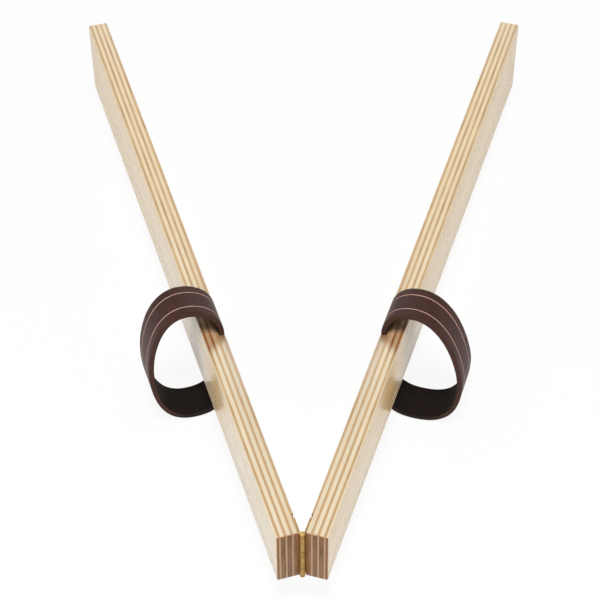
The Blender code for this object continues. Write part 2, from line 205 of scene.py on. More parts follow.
class ScrewSettings(bpy.types.PropertyGroup):
    """Countersunk wood screws, the same for the hinge and the straps."""

    length: length("Length", "Head face to point", 8.5)
    head_radius: length("Head radius", "Half the head's width", 2.0)
    shank_radius: length("Shank radius", "Half the shank's width", 1.05)
    rim_height: length("Rim height", "Height of the head's upright rim", 0.12)
    plain_neck: length("Plain neck", "Shank left plain under the head", 0.6)
    point_length: length("Point length", "Length of the tapered point", 2.4)
    slot_width: length("Slot width", "Width of the driver slot", 0.6)
    slot_depth: length("Slot depth", "Depth of the driver slot", 0.45)
    edge_radius: length("Edge radius", "Rounding of the head's rim and slot", 0.07)
    thread_pitch: length("Thread pitch", "From one turn of the thread to the next", 0.9)
    thread_height: length("Thread height", "How far the thread stands off the shank", 0.2)
    thread_root: length("Thread root", "How far the thread starts inside the shank", 0.05)
    seed: bpy.props.IntProperty(name="Seed", description="Sets how far each screw is turned", default=4)


class StrapSettings(bpy.types.PropertyGroup):
    """The leather of both hand loops."""

    width: length("Width", "Width of the leather", 22.4)
    thickness: length("Thickness", "Thickness of the leather", 3)
    edge_radius: length("Edge radius", "Rounding of the cut edges", 0.75)
    end_gap: length("End gap", "Between the strap's two ends", 1)
    screw_gap: length("Screw gap", "Gap round a screw in the leather", 0.06)
    line_inset: length("Line inset", "Edge of the strap to a pressed line", 5.6)
    line_width: length("Line width", "Width of a pressed line", 0.62)
    line_depth: length("Line depth", "Depth of a pressed line", 0.22)
    ring_spacing: length("Ring spacing", "Distance between cross sections along the strap", 0.7)
    unevenness: length("Unevenness", "How far the surface wanders", 0.16)
    dimple_depth: length("Dimple depth", "How far a screw head pulls the leather in", 0.14)
    dimple_radius: length("Dimple radius", "How far round a screw head the leather dips", 4.2)
    # Painted shade: the cut edges are darker towards the floor, where the loop's foot lies in shade.
    foot_shade_height: length("Soil height", "Floor to where the cut edges are no longer dirty", 9)
    pebble_size: length("Pebble size", "Across one pebble of the leather's grain", 0.9)
    grain_color: paint("Grain side", "The smooth outer side", 60, 35, 30)
    worn_color: paint("Worn", "Where handling has lightened the outer side", 76, 48, 42)
    flesh_color: paint("Flesh side", "The raw inner side", 16, 15, 13)
    edge_color: paint("Cut edge", "The burnished edges", 74, 49, 41)
    line_color: paint("Pressed line", "The two pale lines", 192, 156, 144)
    seed: bpy.props.IntProperty(name="Seed", description="Sets the leather's unevenness", default=7)


class LeftLoopSettings(bpy.types.PropertyGroup):
    """Middle line of the left strap seen along its board.

    Rise and drop are from the board's long edges, and a pull is how far the line keeps its
    direction on that side of a point.
    """

    crown_out: length("Crown out", "Clapping face to the highest point", 20.1)
    crown_rise: length("Crown rise", "Board's top edge up to the highest point", 18.7)
    belly_reach: length("Belly reach", "Board's outer face to the widest point", 29.4)
    belly_height: length("Belly height", "Height of the widest point over the board's middle", 0.1)
    foot_out: length("Foot out", "Clapping face to the lowest point", 18.9)
    foot_drop: length("Foot drop", "Board's bottom edge down to the lowest point", 19.6)
    start_pull: length("Start pull", "Upward from the channel", 11.6)
    crown_pull_in: length("Crown pull in", "From the crown towards the board", 9.1)
    crown_pull_out: length("Crown pull out", "From the crown away from the board", 17)
    belly_pull_up: length("Belly pull up", "Upward from the belly", 10.3)
    belly_pull_down: length("Belly pull down", "Downward from the belly", 13.4)
    foot_pull_out: length("Foot pull out", "From the foot away from the board", 20)
    foot_pull_in: length("Foot pull in", "From the foot towards the board", 13.2)
    end_pull: length("End pull", "Downward from the channel", 12.3)
    foot_tilt: angle("Foot tilt", "How far the strap leans at its lowest point", 3)


class RightLoopSettings(bpy.types.PropertyGroup):
    """Middle line of the right strap, in the left one's terms."""

    crown_out: length("Crown out", "Clapping face to the highest point", 16.8)
    crown_rise: length("Crown rise", "Board's top edge up to the highest point", 15.9)
    belly_reach: length("Belly reach", "Board's outer face to the widest point", 32.8)
    belly_height: length("Belly height", "Height of the widest point over the board's middle", -8.7)
    foot_out: length("Foot out", "Clapping face to the lowest point", 20.4)
    foot_drop: length("Foot drop", "Board's bottom edge down to the lowest point", 20)
    start_pull: length("Start pull", "Upward from the channel", 10.2)
    crown_pull_in: length("Crown pull in", "From the crown towards the board", 8.4)
    crown_pull_out: length("Crown pull out", "From the crown away from the board", 19.1)
    belly_pull_up: length("Belly pull up", "Upward from the belly", 10.5)
    belly_pull_down: length("Belly pull down", "Downward from the belly", 23.6)
    foot_pull_out: length("Foot pull out", "From the foot away from the board", 14.7)
    foot_pull_in: length("Foot pull in", "From the foot towards the board", 14.5)
    end_pull: length("End pull", "Downward from the channel", 10)
    foot_tilt: angle("Foot tilt", "How far the strap leans at its lowest point", 0)


class StageSettings(bpy.types.PropertyGroup):
    """Camera, floor and lamps."""

    camera_right: length("Camera right", "Camera to the right of the hinge pin", 3.262)
    camera_back: length("Camera back", "Camera in front of the hinge pin", 499.522)
    camera_up: length("Camera up", "Camera above the boards' middle", 634.237)
    camera_pitch: angle("Pitch", "How far the camera looks down", 43.0235)
    camera_yaw: angle("Yaw", "How far the camera looks to the right", -0.418)
    camera_roll: angle("Roll", "How far the camera leans", -0.3655)
    lens: bpy.props.FloatProperty(
        name="Lens", description="Focal length on a 36 mm sensor", default=99.2566,
        subtype="DISTANCE_CAMERA", unit="CAMERA",
    )
    overhead_power: power("Overhead", "Soft box over the object", 36)
    left_power: power("Left", "Soft box at the left of the camera", 8.6)
    right_power: power("Right", "Soft box at the right of the camera", 6.8)
    back_power: power("Back", "Soft box behind the object", 5)
    room_light: share("Room light", "Even light from all round", 0.15)
    floor_color: paint("Floor", "The pale floor", 250, 249, 248)
    floor_whiteness: share("Floor whiteness", "How white the floor is seen under the object", 0.9)


class SlapstickSettings(bpy.types.PropertyGroup):
    """Everything that the panel shows."""

    plywood: bpy.props.PointerProperty(type=PlywoodSettings, name="Plywood", description="The boards")
    brass: bpy.props.PointerProperty(type=BrassSettings, name="Brass", description="The hinge")
    screws: bpy.props.PointerProperty(type=ScrewSettings, name="Screws", description="All screws")
    straps: bpy.props.PointerProperty(type=StrapSettings, name="Straps", description="The leather")
    left_loop: bpy.props.PointerProperty(type=LeftLoopSettings, name="Left loop", description="Its shape")
    right_loop: bpy.props.PointerProperty(type=RightLoopSettings, name="Right loop", description="Its shape")
    stage: bpy.props.PointerProperty(type=StageSettings, name="Stage", description="Camera and light")


# Nodes

class Net:
    """A node tree being wired. Its calls add a node, feed its sockets and give back an output."""

    def __init__(self, tree):
        self.tree = tree

    def add(self, kind, feeds=None, **options):
        node = self.tree.nodes.new(kind)
        for name, value in options.items():
            setattr(node, name, value)
        for key, value in (feeds or {}).items():
            if isinstance(value, bpy.types.NodeSocket):
                self.tree.links.new(value, node.inputs[key])
            else:
                node.inputs[key].default_value = value
        return node

    def math(self, operation, *values):
        return self.add("ShaderNodeMath", dict(enumerate(values)), operation=operation).outputs[0]

    def vector_math(self, operation, *values):
        node = self.add("ShaderNodeVectorMath", dict(enumerate(values)), operation=operation)
        return node.outputs[0]

    def split(self, vector):
        return self.add("ShaderNodeSeparateXYZ", {0: vector}).outputs

    def join(self, x, y, z):
        return self.add("ShaderNodeCombineXYZ", {0: x, 1: y, 2: z}).outputs[0]

    def distance(self, vector, point):
        apart = self.vector_math("SUBTRACT", vector, point)
        return self.add("ShaderNodeVectorMath", {0: apart}, operation="LENGTH").outputs["Value"]

    def ranged(self, value, low, high, to_low=0.0, to_high=1.0, kind="LINEAR"):
        """value from low..high to to_low..to_high, held at the ends."""
        feeds = {0: value, 1: low, 2: high, 3: to_low, 4: to_high}
        return self.add("ShaderNodeMapRange", feeds, interpolation_type=kind).outputs[0]


class Shading(Net):
    """The nodes of a material, with a Principled shader at the end."""

    def __init__(self, name):
        self.material = bpy.data.materials.new(name)
        self.material.use_nodes = True
        super().__init__(self.material.node_tree)
        self.shader = self.tree.nodes["Principled BSDF"]
        self.coordinates = self.add("ShaderNodeTexCoord")

    def finish(self, **feeds):
        """Feed the shader's sockets, with _ for a space in their names."""
        for name, value in feeds.items():
            socket = self.shader.inputs[name.replace("_", " ")]
            if isinstance(value, bpy.types.NodeSocket):
                self.tree.links.new(value, socket)
            else:
                socket.default_value = value
        return self.material

    def noise(self, vector, scale=1.0, detail=3.0, roughness=0.5, distortion=0.0):
        feeds = {"Vector": vector, "Scale": scale, "Detail": detail, "Roughness": roughness,
                 "Distortion": distortion}
        return self.add("ShaderNodeTexNoise", feeds).outputs[0]

    def ramp(self, value, stops, interpolation="LINEAR"):
        """A grey that follows (place, level) stops."""
        node = self.add("ShaderNodeValToRGB", {0: value})
        node.color_ramp.interpolation = interpolation
        elements = node.color_ramp.elements
        elements.remove(elements[1])
        elements[0].position = stops[0][0]
        elements[0].color = (*[stops[0][1]] * 3, 1)
        for place, level in stops[1:]:
            elements.new(place).color = (level, level, level, 1)
        return node.outputs[0]

    def mix(self, factor, first, second, blend="MIX"):
        feeds = {0: factor, 6: first, 7: second}
        return self.add("ShaderNodeMix", feeds, data_type="RGBA", blend_type=blend).outputs[2]

    def bump(self, height, depth, strength=1.0):
        feeds = {"Height": height, "Distance": depth, "Strength": strength}
        return self.add("ShaderNodeBump", feeds).outputs[0]


class Growth(Net):
    """A Geometry Nodes tree with named inputs. set_on gives a modifier its values by those names."""

    def __init__(self, name, sockets):
        super().__init__(bpy.data.node_groups.new(name, "GeometryNodeTree"))
        face = self.tree.interface
        face.new_socket("Geometry", in_out="INPUT", socket_type="NodeSocketGeometry")
        for label, kind in sockets.items():
            face.new_socket(label, in_out="INPUT", socket_type="NodeSocket" + kind)
        face.new_socket("Geometry", in_out="OUTPUT", socket_type="NodeSocketGeometry")
        self.inputs = self.add("NodeGroupInput").outputs

    def close(self, geometry, material):
        """Real geometry in the given material, out of the tree."""
        real = self.add("GeometryNodeRealizeInstances", {0: geometry})
        done = self.add("GeometryNodeSetMaterial", {0: real.outputs[0], "Material": material})
        self.add("NodeGroupOutput", {0: done.outputs[0]})

    def set_on(self, obj, values):
        modifier = obj.modifiers.new(self.tree.name, "NODES")
        modifier.node_group = self.tree
        for item in self.tree.interface.items_tree:
            if item.in_out == "INPUT" and item.name in values:
                modifier[item.identifier] = values[item.name]


def linear(color):
    """A screen colour as the shader takes it."""
    return (*Color(color).from_srgb_to_scene_linear(), 1)


# Meshes

def new_object(name, data):
    obj = bpy.data.objects.new(name, data)
    bpy.context.scene.collection.objects.link(obj)
    return obj


def tidy_mesh(mesh, flat_angle=0.0, recalculate=False):
    """Merge doubled points, join flat neighbours and, if asked, turn the faces outward."""
    work = bmesh.new()
    work.from_mesh(mesh)
    bmesh.ops.remove_doubles(work, verts=work.verts, dist=CLOSE)
    if flat_angle:
        bmesh.ops.dissolve_limit(work, angle_limit=flat_angle, verts=work.verts, edges=work.edges)
    if recalculate:
        bmesh.ops.recalc_face_normals(work, faces=work.faces)
    work.to_mesh(mesh)
    work.free()


def bake(obj, name):
    """A new object with the evaluated mesh of another, which is removed."""
    bpy.context.view_layer.update()
    depsgraph = bpy.context.evaluated_depsgraph_get()
    mesh = bpy.data.meshes.new_from_object(obj.evaluated_get(depsgraph), depsgraph=depsgraph)
    bpy.data.objects.remove(obj, do_unlink=True)
    mesh.name = name
    return new_object(name, mesh)


def ease_edges(obj, radius, segments=2, sharp=40):
    """Round the sharp edges and keep broad faces looking flat."""
    if radius:
        bevel = obj.modifiers.new("eased edges", "BEVEL")
        bevel.width = radius
        bevel.segments = segments
        bevel.limit_method = "ANGLE"
        bevel.angle_limit = math.radians(sharp)
    normals = obj.modifiers.new("flat faces", "WEIGHTED_NORMAL")
    normals.keep_sharp = True


def shade(obj, sharp=40):
    obj.data.shade_smooth()
    obj.data.set_sharp_from_angle(angle=math.radians(sharp))


def copy_of_node(node, name):
    """A merged copy of a CAD node, whose own mesh is loose triangles."""
    mesh = frame["nodes"][node].data.copy()
    mesh.materials.clear()
    tidy_mesh(mesh, flat_angle=math.radians(0.3))
    return new_object(name, mesh)


def to_row_frame(obj, side):
    """Move a mesh from its board's own frame to the row frame and keep its faces outward."""
    obj.data.transform(board_frame(side))
    if side.sign < 0:
        obj.data.flip_normals()


def dress(obj, body, material, nodes):
    """Give a finished piece its material, body and slot, and hide the CAD nodes that it stands for."""
    obj.data.materials.clear()
    obj.data.materials.append(material)
    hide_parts(*nodes)
    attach(obj, body)


def turned(name, profile, sides):
    """A profile of (radius, height) points, from top to bottom, turned about Z."""
    work = bmesh.new()
    points = [work.verts.new((radius, 0, height)) for radius, height in profile]
    edges = [work.edges.new(pair) for pair in zip(points, points[1:])]
    bmesh.ops.spin(
        work, geom=points + edges, cent=(0, 0, 0), axis=(0, 0, 1), angle=TURN, steps=sides,
        use_merge=True,
    )
    mesh = bpy.data.meshes.new(name)
    work.to_mesh(mesh)
    work.free()
    tidy_mesh(mesh, recalculate=True)
    return new_object(name, mesh)


# Finishes

Grain = namedtuple("Grain", "streaks specks patches figure flecks")


def ply_stops(look, thickness, drift):
    """Stops across the edge of a board, from 0 at the clapping face to 1 at the outer face.

    They tell the plies laid across, a tone for each ply, the two face veneers, and the narrow pale
    strips that the plies laid across show at a sawn end.
    """
    long_ply = (thickness - 2 * look.face_veneer - 4 * look.cross_ply) / 3
    plies = [look.face_veneer, *[look.cross_ply, long_ply] * 3, look.cross_ply, look.face_veneer]
    borders = [sum(plies[:count]) / thickness for count in range(1, len(plies))]
    soft = look.glue_line / thickness / 2
    cross = [(0, 0)]
    for number, border in enumerate(borders):
        cross += [(border - soft, number % 2), (border + soft, 1 - number % 2)]
    tones = [(start, (number * 0.618) % 1) for number, start in enumerate([0, *borders])]
    veneers = [(0, 1), (borders[0], 0), (borders[-1], 1)]
    strips = [(0, 0)]
    half = look.end_strip / thickness / 2
    for first, last in zip(borders[0::2], borders[1::2]):
        middle = (first + last) / 2 - (look.end_drift - drift) / thickness
        strips += [(middle - half - soft, 0), (middle - half + soft, 1),
                   (middle + half - soft, 1), (middle + half + soft, 0)]
    return cross, tones, veneers, strips


def wood_grain(net, look, place, cross, tone):
    """Long streaks along the fibres, fine specks where they are cut, and slower patches and figure."""
    fine = 1 / look.grain_width
    slow = 1 / look.grain_length
    pore = 1 / look.pore_size
    fleck = 1 / look.fleck_length
    shift = net.math("MULTIPLY", tone, 40)
    shift = net.join(shift, shift, shift)
    long_place = net.vector_math("MULTIPLY", place, (fine, slow, fine))
    cross_place = net.vector_math("MULTIPLY", place, (fine, fine, slow))
    streak_place = net.vector_math("ADD", net.mix(cross, long_place, cross_place), shift)
    patch_place = net.vector_math("ADD", net.vector_math("MULTIPLY", place, (90, 45, 90)), shift)
    speck_place = net.vector_math("MULTIPLY", place, (pore, pore, pore))
    figure_place = net.vector_math("MULTIPLY", place, (30, 9, 110))
    fleck_place = net.vector_math("MULTIPLY", place, (2 * pore, fleck, pore))
    return Grain(
        streaks=net.noise(streak_place, detail=4, roughness=0.62, distortion=0.3),
        specks=net.noise(speck_place, detail=2, roughness=0.7),
        patches=net.noise(patch_place, detail=2),
        figure=net.noise(figure_place, detail=3, roughness=0.55, distortion=1.2),
        flecks=net.ranged(net.noise(fleck_place, detail=2, roughness=0.6), 0.6, 0.75, 0, 0.3),
    )


def birch_plywood(side, look):
    """Nine birch plies: pale along the grain, brown where a ply is cut across its grain."""
    net = Shading(side.name + "_birch_plywood")
    place = net.add(
        "ShaderNodeMapping",
        {0: net.coordinates.outputs["Object"], "Location": PIN,
         "Rotation": (0, 0, -side.sign * HALF_OPENING), "Scale": (side.sign, 1, 1)},
        vector_type="TEXTURE",
    ).outputs[0]
    facing = net.add(
        "ShaderNodeMapping",
        {0: net.coordinates.outputs["Normal"], "Rotation": (0, 0, side.sign * HALF_OPENING)},
        vector_type="NORMAL",
    ).outputs[0]
    across_face, along_face, up_face = net.split(net.vector_math("MULTIPLY", facing, facing))

    # Place through the board's thickness, from 0 to 1, wandering a little as real plies do.
    out, along = net.split(place)[:2]
    thickness = BOARD_HIGH.x - BOARD_LOW.x
    drift = look.left_drift if side is LEFT else look.right_drift
    wander = net.noise(net.vector_math("MULTIPLY", place, (60, 14, 60)), detail=1)
    wander = net.ranged(wander, 0, 1, -0.010, 0.010)
    wander = net.math("ADD", wander, net.ranged(along, 0, look.drift_reach, drift / thickness, 0))
    depth = net.math("ADD", net.ranged(out, BOARD_LOW.x, BOARD_HIGH.x), wander)

    cross_stops, tone_stops, veneer_stops, strip_stops = ply_stops(look, thickness, drift)
    cross = net.ramp(depth, cross_stops)
    tone = net.ramp(depth, tone_stops, "CONSTANT")
    face_ply = net.ramp(depth, veneer_stops, "CONSTANT")
    strip = net.ramp(depth, strip_stops)
    glue = net.math("MULTIPLY", net.math("MULTIPLY", cross, net.math("SUBTRACT", 1, cross)), 4)
    glue = net.math("MULTIPLY", glue, net.math("SUBTRACT", 1, across_face))
    grain = wood_grain(net, look, place, cross, tone)

    # Plies cut along their fibres and the face veneers, both warmer towards the free end.
    wavy = net.math("ADD", along, net.math("MULTIPLY", grain.figure, 0.1))
    # Partly painted light: the long plies turn lighter towards the free end, making up for the lamps'
    # falloff there.
    toward_warm_lit_end = net.ranged(wavy, look.warm_lit_start, look.warm_lit_end)
    dark_figure = linear(look.figure_color)
    long_tone = net.mix(toward_warm_lit_end, linear(look.long_color), linear(look.far_lit_long_color))
    long_tone = net.mix(net.ranged(grain.streaks, 0.35, 0.75, 0, 0.6), long_tone, dark_figure)
    face_color = look.left_veneer_color if side is LEFT else look.right_veneer_color
    veneer = net.mix(toward_warm_lit_end, linear(face_color), linear(look.warm_color))
    veneer = net.mix(net.ranged(grain.figure, 0.45, 0.75, 0, 0.7), veneer, dark_figure)
    veneer = net.mix(net.ranged(grain.streaks, 0.55, 0.8, 0, 0.35), veneer, dark_figure)
    pale = net.mix(net.math("MULTIPLY", face_ply, across_face), long_tone, veneer)
    pale = net.mix(grain.flecks, pale, linear(look.dark_color))

    # Plies cut across their fibres, darker towards the hinge.
    aged = net.ranged(along, 0, look.aged_reach, 0.85, 0)
    aged = net.math("MAXIMUM", aged, net.ranged(grain.patches, 0.3, 0.7))
    cut = net.mix(aged, linear(look.end_color), linear(look.dark_color))
    across_fibres = net.mix(cross, along_face, up_face)
    color = net.mix(across_fibres, pale, cut)
    color = net.mix(net.math("MULTIPLY", glue, 0.55), color, linear(look.dark_color))

    # The sawn ends with painted shade along their rounded arrises, and painted shade on the end wall of the
    # leaf's rebate.
    dark_patches = net.ranged(grain.patches, 0.3, 0.7, 0, 0.25)
    sawn = net.mix(dark_patches, linear(look.sawn_color), linear(look.dark_color))
    sawn = net.mix(strip, sawn, linear(look.strip_color))
    on_end = net.ranged(along_face, 0.4, 0.7)
    color = net.mix(on_end, color, sawn)
    # Painted shade where the rounded arrises of the sawn ends turn away from the light.
    arris_shade = net.math("MULTIPLY", along_face, net.math("SUBTRACT", 1, along_face))
    arris_shade = net.ranged(arris_shade, 0.02, 0.2, 0, 0.8)
    arris_shade = net.math("MULTIPLY", arris_shade, net.math("GREATER_THAN", depth, 0.1))
    color = net.mix(arris_shade, color, linear(look.arris_shade_color))
    # Painted shade: the end wall of the leaf's rebate, at the far end of a narrow slot, is coloured dark.
    rebate_end = LEAF_HIGH.y + look.leaf_end_gap
    burnt = net.math("COMPARE", along, rebate_end, 0.3 * MM)
    burnt = net.math("MULTIPLY", burnt, net.math("LESS_THAN", out, LEAF_HIGH.x))
    burnt = net.math("MULTIPLY", burnt, on_end)
    color = net.mix(burnt, color, linear(look.rebate_shade_color))

    # Painted reflection: the outer faces are browner in a round patch where the strap's dark foot is
    # mirrored.
    # Painted shade and warm bounce light under each strap, with some of its dye, darken the long edges
    # there, most of all on the plies laid across, which soak up the dye.
    # Painted reflection: the faces are tinted browner round where the strap's dark foot is mirrored in them.
    off_reflection_tint = net.distance(place, (BOARD_HIGH.x, look.reflection_tint_distance, 0))
    reflection_tint = net.ranged(off_reflection_tint, 0, look.reflection_tint_reach, 1, 0, "SMOOTHSTEP")
    reflection_tint = net.math("MULTIPLY", reflection_tint, across_face)
    color = net.mix(reflection_tint, color, net.mix(1.0, color, linear(look.reflection_tint_color), "MULTIPLY"))
    # Painted shade and painted warm bounce light round each strap, partly the strap's dye, reaching further
    # at the outer face.
    off_strap = net.math("ABSOLUTE", net.math("SUBTRACT", along, STRAP_MIDDLE))
    slanted = net.math("SUBTRACT", off_strap, net.math("MULTIPLY", depth, look.dye_and_shade_slant))
    dye_and_shade = net.ranged(slanted, look.dye_and_shade_start, look.dye_and_shade_reach, 1, 0, "SMOOTHSTEP")
    dye_and_shade = net.math("MULTIPLY", dye_and_shade, net.math("MULTIPLY", up_face, net.ranged(cross, 0, 1, 0.85, 1)))
    dye_and_shade = net.math("MULTIPLY", dye_and_shade, net.ranged(grain.patches, 0.3, 0.7, 0.6, 1))
    color = net.mix(dye_and_shade, color, net.mix(1.0, color, linear(look.dye_and_shade_color), "MULTIPLY"))

    level = net.ranged(tone, 0, 1, 0.985, 1.015)
    level = net.math("MULTIPLY", level, net.ranged(grain.specks, 0.3, 0.7, 0.95, 1.03))
    color = net.mix(1.0, color, net.join(level, level, level), "MULTIPLY")

    relief = net.math("MULTIPLY", net.math("ADD", grain.streaks, grain.specks), 0.5)
    relief = net.math("SUBTRACT", relief, glue)
    roughness = net.ranged(grain.streaks, 0.3, 0.7, look.roughness - 0.02, look.roughness + 0.04)
    return net.finish(Base_Color=color, Roughness=roughness, Specular_IOR_Level=0.3,
                      Normal=net.bump(relief, 0.02 * MM, 0.2))


def brass(name, look, streak_axis):
    """Rolled brass, marked faintly along one axis and tarnished; the barrel's flat ends get the lighter
    clean brass, partly cut metal and partly a painted highlight.
    """
    net = Shading(name)
    place = net.coordinates.outputs["Object"]
    scale = [1 / look.streak_width] * 3
    scale[streak_axis] = 1 / look.streak_length
    streaks = net.noise(net.vector_math("MULTIPLY", place, scale), detail=3, roughness=0.6)
    tarnish = net.noise(place, scale=220, detail=4, roughness=0.6)
    amount = net.ranged(tarnish, 0.42, 0.68, 0, 0.75)
    # Partly painted highlight: the barrel's flat ends, the top one facing the overhead lamp, get the lighter
    # clean brass.
    cut = net.math("ABSOLUTE", net.split(net.coordinates.outputs["Normal"])[streak_axis])
    beside_pin = net.vector_math("MULTIPLY", place, (1, 1, 0))
    off_pin = net.distance(beside_pin, (PIN.x, PIN.y, 0))
    at_barrel = net.ranged(off_pin, 1.5 * MM, 2.5 * MM, 1, 0)
    cut = net.math("MULTIPLY", net.ranged(cut, 0.6, 0.9), at_barrel)
    color = net.mix(cut, linear(look.lacquer_color), linear(look.color))
    color = net.mix(amount, color, linear(look.tarnish_color))
    dull = net.math("ADD", net.math("MULTIPLY", streaks, 0.5), net.math("MULTIPLY", tarnish, 0.5))
    roughness = net.ranged(dull, 0.3, 0.7, look.polish, look.dullness)
    return net.finish(Base_Color=color, Roughness=roughness, Metallic=1.0,
                      Normal=net.bump(streaks, 0.02 * MM, 0.35))


def strap_leather(side, look):
    """Smooth dark outer side with two pale pressed lines, raw inner side and burnished edges."""
    net = Shading(side.name + "_strap_leather")
    place = net.add("ShaderNodeAttribute", attribute_name="strap_place").outputs["Vector"]
    depth, across, along = net.split(place)
    body = net.coordinates.outputs["Object"]
    half = look.thickness / 2
    rim = look.edge_radius
    outer = net.ranged(depth, -half + 0.3 * rim, -half + 0.75 * rim, 1, 0, "SMOOTHSTEP")
    inner = net.ranged(depth, half - 0.5 * rim, half - 0.15 * rim, 0, 1, "SMOOTHSTEP")

    pebbles = net.add(
        "ShaderNodeTexVoronoi", {"Vector": body, "Scale": 1 / look.pebble_size, "Randomness": 1.0},
        feature="DISTANCE_TO_EDGE",
    ).outputs[0]
    pebbles = net.ranged(pebbles, 0, 0.18, 0, 1, "SMOOTHSTEP")
    fine = net.noise(body, scale=2600, detail=3, roughness=0.6)
    clouds = net.noise(body, scale=70, detail=4, roughness=0.6)
    fibres = net.noise(body, scale=1100, detail=5, roughness=0.75)

    grain = net.mix(net.ranged(clouds, 0.4, 0.7), linear(look.grain_color), linear(look.worn_color))
    grain = net.mix(net.ranged(pebbles, 0, 1, 0.25, 0), grain, linear(look.flesh_color))
    loose = net.ranged(fibres, 0.4, 0.75, 0, 0.3)
    flesh = net.mix(loose, linear(look.flesh_color), linear(look.worn_color))
    rough_edge = net.ranged(fibres, 0.3, 0.7, 0, 0.5)
    edge = net.mix(rough_edge, linear(look.edge_color), linear(look.flesh_color))
    # Painted shade: the cut edges darken towards the floor, where the loop's foot lies in shade.
    foot_shade = net.ranged(net.split(body)[2], look.foot_shade_height / 3, look.foot_shade_height, 0.85, 0)
    edge = net.mix(foot_shade, edge, linear(look.flesh_color))
    line_place = look.width / 2 - look.line_inset
    line = net.math("COMPARE", net.math("ABSOLUTE", across), line_place, look.line_width / 2)
    line = net.math("MULTIPLY", line, outer)
    faded = net.ranged(fine, 0.3, 0.7, 0, 0.3)
    line_tone = net.mix(faded, linear(look.line_color), linear(look.worn_color))

    color = net.mix(outer, edge, grain)
    color = net.mix(line, color, line_tone)
    color = net.mix(inner, color, flesh)
    roughness = net.math("ADD", net.math("MULTIPLY", fine, 0.5), net.math("MULTIPLY", clouds, 0.5))
    roughness = net.ranged(roughness, 0.35, 0.65, 0.38, 0.52)
    roughness = net.math("ADD", roughness, net.math("MULTIPLY", inner, 0.35))
    relief = net.math("ADD", net.math("MULTIPLY", pebbles, outer), net.math("MULTIPLY", fibres, 0.6))
    return net.finish(Base_Color=color, Roughness=roughness, Specular_IOR_Level=0.1,
                      Normal=net.bump(relief, 0.09 * MM, 0.6))


# Boards

def arc(along, height, radius, start, end, steps):
    """Points on an arc round (along, height), both ends included."""
    turns = [start + (end - start) * step / steps for step in range(steps + 1)]
    return [(along + radius * math.cos(turn), height + radius * math.sin(turn)) for turn in turns]


def board_outline(look):
    """Board seen from its outer face in (along, height), narrow at the hinge."""
    near, far = BOARD_LOW.y, BOARD_HIGH.y
    near_half, far_half = look.hinge_end_width / 2, BOARD_HIGH.z
    near_round, far_round = look.hinge_corner_radius, look.free_corner_radius
    upper = [
        *arc(near + near_round, near_half - near_round, near_round, TURN / 2, TURN / 4, 5),
        *arc(far - far_round, far_half - far_round, far_round, TURN / 4, 0, 8),
    ]
    return upper + [(along, -height) for along, height in reversed(upper)]


def slab(name, outline, low, high):
    """An outline in (along, height) made solid between two depths, in the board's own frame."""
    work = bmesh.new()
    face = work.faces.new([work.verts.new((low, along, height)) for along, height in outline])
    grown = bmesh.ops.extrude_face_region(work, geom=[face])["geom"]
    moved = [item for item in grown if isinstance(item, bmesh.types.BMVert)]
    bmesh.ops.translate(work, vec=(high - low, 0, 0), verts=moved)
    bmesh.ops.recalc_face_normals(work, faces=work.faces)
    mesh = bpy.data.meshes.new(name)
    work.to_mesh(mesh)
    work.free()
    return new_object(name, mesh)


def full_height(near, far):
    """Outline of a cut that runs from one long edge of the board to the other."""
    reach = 2 * BOARD_HIGH.z
    return [(near, -reach), (far, -reach), (far, reach), (near, reach)]


def board_cutters(look, straps):
    """What is cut out of a board: the leaf's rebate, the barrel's groove and the strap's channel."""
    fit = look.fit
    reach = 2 * BOARD_HIGH.z
    barrel = LEAF_HIGH.x + fit
    seat = straps.width / 2 + fit
    channel = full_height(STRAP_MIDDLE - seat, STRAP_MIDDLE + seat)
    return [
        slab("leaf_rebate", full_height(-barrel, LEAF_HIGH.y + look.leaf_end_gap), -barrel, barrel),
        turned("barrel_groove", [(0, reach), (barrel, reach), (barrel, -reach), (0, -reach)], 48),
        slab("strap_channel", channel, -barrel, STRAP_LOW.x + straps.thickness + fit),
    ]


class SLAPSTICK_OT_boards(bpy.types.Operator):
    """Lay up both boards in nine-ply birch, let in for the hinge and the straps"""

    bl_idname = "slapstick.boards"
    bl_label = "Plywood boards"

    def execute(self, context):
        settings = context.scene.slapstick
        look = settings.plywood
        cutters = board_cutters(look, settings.straps)
        for side in SIDES:
            board = slab(side.name + "_blank", board_outline(look), BOARD_LOW.x, BOARD_HIGH.x)
            ease_edges(board, look.arris_radius, segments=3)
            for cutter in cutters:
                cut = board.modifiers.new(cutter.name, "BOOLEAN")
                cut.object = cutter
                cut.solver = "EXACT"
            board = bake(board, side.name + "_sawn_board")
            tidy_mesh(board.data)
            ease_edges(board, look.cut_edge_radius, segments=1, sharp=60)
            board = bake(board, side.name + "_plywood_board")
            shade(board, 50)
            to_row_frame(board, side)
            dress(board, side.body, birch_plywood(side, look), [side.name + "_board"])
        for cutter in cutters:
            bpy.data.objects.remove(cutter, do_unlink=True)
        return {"FINISHED"}


# Hinge

class SLAPSTICK_OT_hinge(bpy.types.Operator):
    """Finish the two interleaved hinge leaves and their pin in brass"""

    bl_idname = "slapstick.hinge"
    bl_label = "Butt hinge"

    def execute(self, context):
        look = context.scene.slapstick.brass
        rolled = brass("rolled_brass", look, streak_axis=2)
        for side in SIDES:
            node = side.name + "_hinge_leaf"
            leaf = copy_of_node(node, side.name + "_leaf")
            shade(leaf)
            ease_edges(leaf, look.edge_radius)
            leaf = bake(leaf, side.name + "_brass_leaf")
            dress(leaf, side.body, rolled, [node])
        pin = copy_of_node("hinge_pin", "pin")
        shade(pin)
        ease_edges(pin, 0)
        pin = bake(pin, "brass_hinge_pin")
        dress(pin, LEFT.body, rolled, ["hinge_pin"])
        return {"FINISHED"}


# Screws

